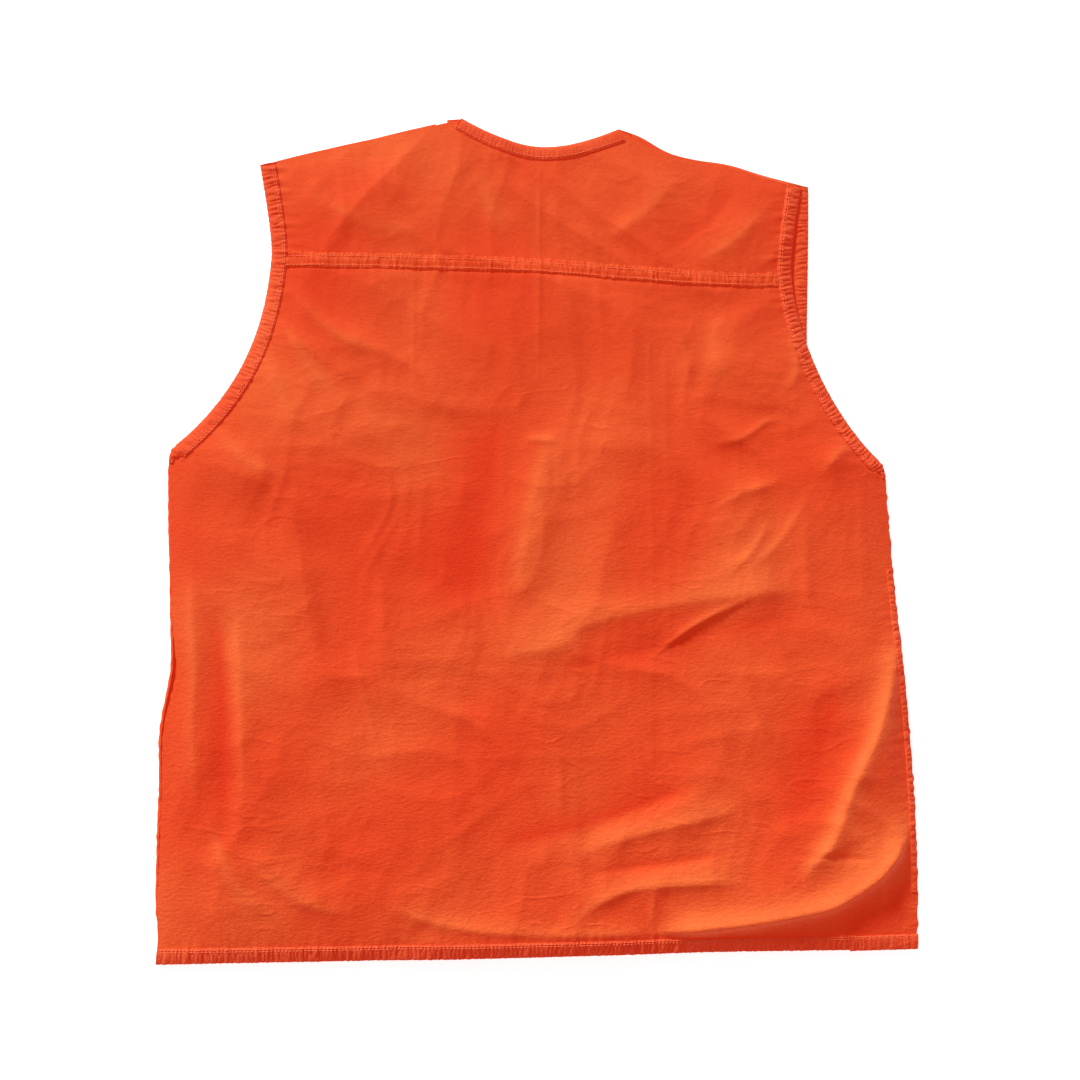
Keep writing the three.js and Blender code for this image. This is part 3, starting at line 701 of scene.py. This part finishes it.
def backPanel():
    rows = np.linspace(4, p["seamLow"] + 5, int((p["seamLow"] + 1) / backCloth["pitch"]))
    rows[np.abs(rows - p["underarmY"]).argmin()] = p["underarmY"]
    u = np.linspace(-1, 1, int(2 * p["hemHalf"] / backCloth["pitch"]))
    y = np.repeat(rows[:, None], len(u), 1)
    x = u[None] * (halfWidth(y) - p["edgeInset"])
    z = backZ(x, y) - backCloth["tuck"] * smooth(p["seamLow"] - 3, p["seamLow"] + 3, y)
    return clothGrid("back_panel_cloth", x, y, z)


# Height of the shoulder and neck edge over each x.
def topLine(x):
    shoulder = p["length"] - (np.abs(x) - p["neckHalf"]) * shoulderSlope
    neck = np.interp(np.abs(x), backNeckLine[::-1, 0], backNeckLine[::-1, 1])
    return np.where(np.abs(x) < p["neckHalf"], neck, shoulder)


def backYoke():
    u = np.linspace(-1, 1, int(2 * p["shoulderHalf"] / backCloth["yokePitch"]))
    v = np.linspace(0, 1, int((p["length"] - p["seamLow"]) / backCloth["yokePitch"]))[:, None]
    start = p["seamHigh"] - 5
    level = start + (p["tipY"] - start) * v
    x = u[None] * (halfWidth(level) - p["edgeInset"])
    top = topLine(u * (p["shoulderHalf"] - p["edgeInset"])) - 1.5
    y = start + (top[None] - start) * v
    return clothGrid("back_yoke_cloth", x, y, backZ(x, y))


# The yoke's lower edge, turned under and sewn down with two rows of stitching.
def yokeBand():
    x = np.linspace(-p["waistHalf"] + 8, p["waistHalf"] - 8, 560)
    across = np.linspace(0, 1, 13)
    profile = np.array([-0.5, 0.55, 0.85, 0.5, 0.75, 1.0, 1.05, 1.0, 0.75, 0.45, 0.5, 0.3, -0.3])
    gx, gy = np.meshgrid(x, p["seamLow"] + across * (p["seamHigh"] - p["seamLow"] + 1))
    gather = waves(gx, gy, 3.6, 31, stretch=(1, 3))
    gy = gy + 0.5 * waves(gx, 0 * gx, 60, 32) + 0.25 * waves(gx, 0 * gx, 13, 33)
    z = backZ(gx, gy) + profile[:, None] * backCloth["bandRise"] + 0.26 * gather
    # The band is painted a little paler overall, and paler still where its gathers rise: painted highlight.
    return clothGrid("yoke_seam_band", gx, gy, z, 0.1 + 0.2 * gather)


keep(backPanel(), "vest", clothMat, "cloth", "back_panel")
keep(backYoke(), "vest", clothMat, "cloth", "back_yoke")
keep(yokeBand(), "vest", clothMat, "cloth", "yoke_seam")
neckWhole = np.vstack([mirror(backNeckLine), backNeckLine[::-1][1:]])
neckStrip = ribbon("neck_binding_back_strip", neckWhole, -1, bound["neck"], backZ, bound["thin"], 0.3)
keep(puckered(neckStrip, 3, 0.45), "vest", None, "binding", "neck_binding_back")
hemEnd, hemJoin = p["hemHalf"] + 0.5, 259
hemStrip = ribbon("hem_binding_back_strip", [(-hemEnd, 0.0), (hemJoin + 3, 0.0)], 1,
                  p["bindingWidth"], backZ, bound["thick"], 0.3)
keep(puckered(hemStrip, 7, 1.2, material=shadedHemMat), "vest", None, "binding", "hem_binding_back")
lapStrip = ribbon("hem_binding_back_lap", [(hemJoin, -0.8), (hemEnd, 0.0)], 1,
                  p["bindingWidth"], backZ, bound["thick"], 0.9)
keep(puckered(lapStrip, 9, 0.9, material=shadedHemMat), "vest", None, "binding")
bandX = p["waistHalf"] - 12
yokeRows = [np.array([(-bandX, y), (bandX, y)]) for y in (p["seamLow"] + 2.4, p["seamHigh"] - 2.6)]
keep(stitches("yoke_stitches", yokeRows, backZ, 0.8, 1), "vest", threadMat, "cloth")
hemRows = [np.array([(-p["hemHalf"] + 3, y), (p["hemHalf"] - 3, y)]) for y in (9.8, 11.6)]
keep(stitches("hem_stitches", hemRows, backZ, 1.45, 2), "vest", threadMat, "binding")
keep(stitches("neck_stitches", [shifted(neckWhole, -1, 8.6)], backZ, 1.3, 3), "vest", threadMat, "binding")
print("back made")


# The front's cut of cloth as a grid that runs from the opening to the side.
def frontGrid(name, side, pitch=2.6):
    outer = np.vstack([sideLine[1:], frontArmholeLine(name)[1:]])
    outer[0] = (p["hemHalf"], 2)
    neck = frontNeckLine[::-1]
    level = np.linspace(0, 1, int(p["length"] / pitch))
    seam = np.linspace(0, 1, int(p["hemHalf"] / pitch))
    innerAt, outerAt = [], []
    for v in level:
        if v <= 0.8:
            y = 2 + v * (p["frontNeckY"] - 2) / 0.8
            innerAt.append((p["frontEdge"], y))
            outerAt.append((np.interp(y, outer[:, 1], outer[:, 0]), y))
        else:
            w = (v - 0.8) / 0.2
            y = p["frontNeckY"] + w * (p["length"] - p["frontNeckY"])
            innerAt.append((np.interp(y, neck[:, 1], neck[:, 0]), y))
            y = p["frontNeckY"] + w * (p["tipY"] - p["frontNeckY"])
            outerAt.append((np.interp(y, outer[:, 1], outer[:, 0]), y))
    innerAt, outerAt = np.array(innerAt), np.array(outerAt)
    s = seam[None]
    x = innerAt[:, :1] * (1 - s) + (outerAt[:, :1] - p["edgeInset"]) * s
    y = innerAt[:, 1:] * (1 - s) + outerAt[:, 1:] * s
    if side > 0:
        y = y + 3.2 * np.exp(-(((x - 92) / 17) ** 2)) * smooth(0.85, 1, level)[:, None]
    return x * side, y


def front(name, side):
    x, y = frontGrid(name, side)
    if side < 0:
        x, y = x[:, ::-1], y[:, ::-1]
    return closedSheet(f"{name}_front_cloth", x, y, frontZ(x, y), p["clothThick"])


# How far in the seams' turns start, and how far they bulge, in millimetres
seamTurn = {"sideInset": 1.5, "sideBulge": 2.2, "shoulderInset": 1.6, "shoulderBulge": 2.0}


# The side seam and the turn of the cloth round it, from the back layer down to the front one.
def sideTurn(name, side):
    line = sideLine[(sideLine[:, 1] > 11) & (sideLine[:, 1] <= p["underarmY"])]
    line, _ = evenly(np.vstack([[np.interp(11, sideLine[:, 1], sideLine[:, 0]), 11], line]), 1.2)
    turn = np.linspace(0, math.pi, 11)
    x0, y0 = line[:, :1] - seamTurn["sideInset"], line[:, 1:]
    top, bottom = backZ(x0, y0), frontZ(x0, y0) - p["clothThick"]
    middle, half = (top + bottom) / 2, (top - bottom) / 2
    rough = waves(y0 + 0 * turn, turn * 4 + 0 * y0, 9, 41 + side) * smooth(0, 0.6, np.sin(turn))
    width = seamTurn["sideBulge"] + (0.55 if side > 0 else 0.25) * rough
    x = x0 + np.sin(turn) * smooth(-3, 14, p["underarmY"] - y0) * width
    z = middle + np.cos(turn) * half
    y = np.repeat(y0, len(turn), 1)
    faces = gridFaces(*x.shape)
    if side > 0:
        faces = faces[:, ::-1]
    return meshObject(f"{name}_side_seam_turn", placed(x * side, y, z), faces[:, ::-1])


# The same along the shoulder. It starts clear of the cloth that folds at the neck.
def shoulderTurn(name, side):
    start = p["foldX"] + (26 if side > 0 else 6)
    tip, neck = (p["shoulderHalf"] - 2, p["tipY"]), (start, float(topLine(start)))
    line, _ = evenly(np.array([neck, tip]), 1.5)
    turn = np.linspace(0, math.pi, 9)
    x0, y0 = line[:, :1] * side, line[:, 1:] - seamTurn["shoulderInset"]
    top, bottom = backZ(x0, y0), frontZ(x0, y0) - p["clothThick"]
    middle, half = (top + bottom) / 2, (top - bottom) / 2
    y = y0 + np.sin(turn) * seamTurn["shoulderBulge"]
    z = middle + np.cos(turn) * half
    x = np.repeat(x0, len(turn), 1)
    faces = gridFaces(*x.shape)
    return meshObject(f"{name}_shoulder_seam_turn", placed(x, y, z), faces if side > 0 else faces[:, ::-1])


pocketLook = {"inner": 108, "outer": 266, "low": 32, "high": 232, "corner": 18, "z": 4.6,
              "flapHinge": 248, "flapDepth": 62, "flapCorner": 22, "flapZ": 1.75}


# A patch pocket or a flap with clipped lower corners.
def patch(name, x0, x1, y0, y1, corner, z, side, puff):
    v = np.linspace(0, 1, 60)[:, None]
    u = np.linspace(-1, 1, 60)[None]
    y = y0 + (y1 - y0) * v + 0 * u
    clip = np.clip(corner - (y - y0), 0, corner)
    x = (x0 + x1) / 2 + u * ((x1 - x0) / 2 - clip)
    z = z + puff * waves(x, y, 38, 51) * (1 - u**2) + 0 * v
    x = x * side
    if side < 0:
        x, y, z = x[:, ::-1], y[:, ::-1], z[:, ::-1]
    return closedSheet(name, x, y, z, p["clothThick"])


# A strip or sheet that runs from the body of the vest onto the front: its transform goes into its mesh, and
# the CAD nodes that it stands for are hidden.
def foldsWith(obj, name, side, slotName, *nodes):
    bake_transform(obj)
    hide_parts(*nodes)


def bindingZ(x, y):
    return frontZ(x, y) - 0.3


def armholes(name, side, towards, seed):
    arm = boundLine(armholeLine()) * (side, 1)
    armFront = boundLine(frontArmholeLine(name)) * (side, 1)
    width, taper = p["bindingWidth"], bound["taper"]
    back = ribbon(f"{name}_armhole_binding_back_strip", arm, towards, width, backZ, bound["thick"], 0.35,
                  taper=taper)
    keep(puckered(back, seed, 1.1), "vest", None, "binding", f"{name}_armhole_binding_back")
    under = ribbon(f"{name}_armhole_binding_front_strip", armFront, towards, width, bindingZ,
                   bound["thin"], -0.1, taper=taper)
    keep(puckered(under, seed + 1, 1.1), "vest", None, "binding", f"{name}_armhole_binding_front")
    rows = [shifted(arm, towards, d)[3:-3] for d in (9.4, 11.2)]
    keep(stitches(f"{name}_armhole_stitches", rows, backZ, 1.4, seed + 2), "vest", threadMat, "binding")


def frontAndBindings(name, side, towards, seed):
    cloth = front(name, side)
    cloth.data.materials.append(clothMat)
    foldsWith(cloth, name, side, "cloth", f"{name}_front_panel", f"{name}_front_strip")
    hem = np.array([(p["hemHalf"] * side, 0.0), (p["frontEdge"] * side, 0.0)])[::-side]
    strip = ribbon(f"{name}_hem_binding_front_strip", hem, 1, p["bindingWidth"], bindingZ, bound["hemThick"])
    foldsWith(puckered(strip, seed + 3, material=shadedHemMat), name, side, "binding",
              f"{name}_hem_binding_front", f"{name}_hem_binding_strip")
    neckEdge = frontNeckLine * (side, 1)
    neckTape = ribbon(f"{name}_neck_binding_strip", neckEdge, towards, bound["frontNeck"], bindingZ,
                      bound["thin"])
    keep(puckered(neckTape, seed + 4, 0.6), f"{name}_front_opening", None, "binding", f"{name}_neck_binding")


def seams(name, side, seed):
    keep(sideTurn(name, side), "vest", clothMat, "cloth", f"{name}_side_seam")
    if side > 0:
        rolled = sideLine[(sideLine[:, 1] > 40) & (sideLine[:, 1] < 335)]
        roll = ribbon("right_side_seam_roll", rolled, 1, bound["roll"], backZ, bound["rollThick"], 0.4)
        keep(puckered(roll, seed + 5, 0.8, 1.3), "vest", None, "binding")
    keep(shoulderTurn(name, side), "vest", clothMat, "cloth", f"{name}_shoulder_seam")


def pocketAndFlap(name, side, seed):
    q = pocketLook
    pocket = patch(f"{name}_pocket_cloth", q["inner"], q["outer"], q["low"], q["high"], q["corner"],
                   q["z"] + 0.4, side, 0.3)
    keep(pocket, "vest", clothMat, "cloth", f"{name}_pocket", f"{name}_flap_seam")
    low, high, cut = q["low"] + 3, q["high"] - 3, q["corner"]
    a, b = q["inner"] + 3, q["outer"] - 3
    sewn = np.array([(a, high), (a, low + cut), (a + cut, low), (b - cut, low), (b, low + cut), (b, high)])
    sewn = sewn * (side, 1)
    inset = sewn + (np.array([(a + b) / 2 * side, (low + high) / 2]) - sewn) * 0.035
    under = q["z"] - 0.2
    rows = stitches(f"{name}_pocket_stitches", [sewn, inset], lambda x, y: 0 * x + under, 0.0, seed + 6)
    keep(rows, "vest", threadMat, "cloth")
    flap = patch(f"{name}_flap_cloth", q["inner"] - 2, q["outer"] + 2, q["flapHinge"] - q["flapDepth"],
                 q["flapHinge"] + 4, q["flapCorner"], q["flapZ"], side, 0.0)
    keep(flap, f"{name}_flap", clothMat, "cloth", f"{name}_pocket_flap")


for name, side in sides.items():
    seed = 60 + 10 * side
    armholes(name, side, side, seed)
    frontAndBindings(name, side, side, seed)
    seams(name, side, seed)
    pocketAndFlap(name, side, seed)
print("sides made")


zipper = {"low": 22.3, "high": 552, "tapeHigh": 555, "edge": 3.2, "tapeWidth": 22, "tapeZ": 10.3,
          "tapeThick": 0.5, "tooth": (0.0014, 0.0030, 0.0020), "pitch": 0.0017}


def zipperHalf(name, side):
    opening = f"{name}_front_opening"
    edge = (zipper["edge"] + 0.2) * side
    line = np.array([(edge, zipper["low"]), (edge, zipper["tapeHigh"])])
    tape = ribbon(f"{name}_zipper_tape_strip", line, -side, zipper["tapeWidth"],
                  lambda x, y: 0 * x + zipper["tapeZ"] + zipper["tapeThick"] / 2,
                  zipper["tapeThick"], step=2.0, put=squared)
    keep(tape, opening, bindingMat, "binding", f"{name}_zipper_tape")
    count = 120
    y = np.linspace(zipper["low"] + 1, zipper["high"], count)
    places = squared((zipper["edge"] + 1.5) * side, y, zipper["tapeZ"] - 1.3)
    data = bpy.data.meshes.new(f"{name}_coil")
    data.from_pydata([tuple(v) for v in places], [(i, i + 1) for i in range(count - 1)], [])
    teeth = baked(linked(f"{name}_zipper_coil_loops", data), rowNodes, Spacing=zipper["pitch"],
                  Size=zipper["tooth"], Unevenness=0.0, Seed=1, Material=coilMat)
    keep(teeth, opening, coilMat, "coil", f"{name}_zipper_coil")


for name, side in sides.items():
    zipperHalf(name, side)
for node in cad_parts.values():
    if not node.hide_render:
        node.data.materials.clear()
        node.data.materials.append(metalMat)
print("zipper made")

# Floor, light and camera
room = {"floor": 0.95, "floorGlow": 0.76, "floorHalf": 8, "world": 0.26, "key": 5.2, "keySoftness": 9,
        "keyFrom": (-0.55, 0.85, 0.45), "lens": 50, "camera": (-0.1401, -0.0555, 1.2676),
        "cameraTurn": (2.48, -6.366, 0.022)}
floorMesh = bpy.data.meshes.new("floor")
far = room["floorHalf"]
floorMesh.from_pydata([(-far, -far, 0), (far, -far, 0), (far, far, 0), (-far, far, 0)], [], [(0, 1, 2, 3)])
floor = linked("floor", floorMesh)
floorMat, t = newMaterial("floor")
floorShader = t.add("ShaderNodeBsdfPrincipled", None, Base_Color=(room["floor"],) * 3 + (1,), Roughness=0.9,
                    Emission_Color=(1, 1, 1, 1), Emission_Strength=room["floorGlow"])
t.add("ShaderNodeOutputMaterial", None, Surface=floorShader.outputs[0])
floorMesh.materials.append(floorMat)

sun = bpy.data.lights.new("key", "SUN")
sun.energy, sun.angle = room["key"], math.radians(room["keySoftness"])
lamp = linked("key", sun)
lamp.rotation_euler = (-Vector(room["keyFrom"])).to_track_quat("-Z", "Y").to_euler()
world = bpy.data.worlds.new("studio")
world.use_nodes = True
background = world.node_tree.nodes["Background"]
background.inputs["Color"].default_value = (1, 1, 1, 1)
background.inputs["Strength"].default_value = room["world"]
scene = bpy.context.scene
scene.world = world
scene.view_settings.view_transform = "Standard"
lens = bpy.data.cameras.new("camera")
lens.lens, lens.sensor_width = room["lens"], 36
camera = linked("camera", lens)
camera.location = room["camera"]
camera.rotation_euler = tuple(math.radians(a) for a in room["cameraTurn"])
scene.camera = camera
print("room made")
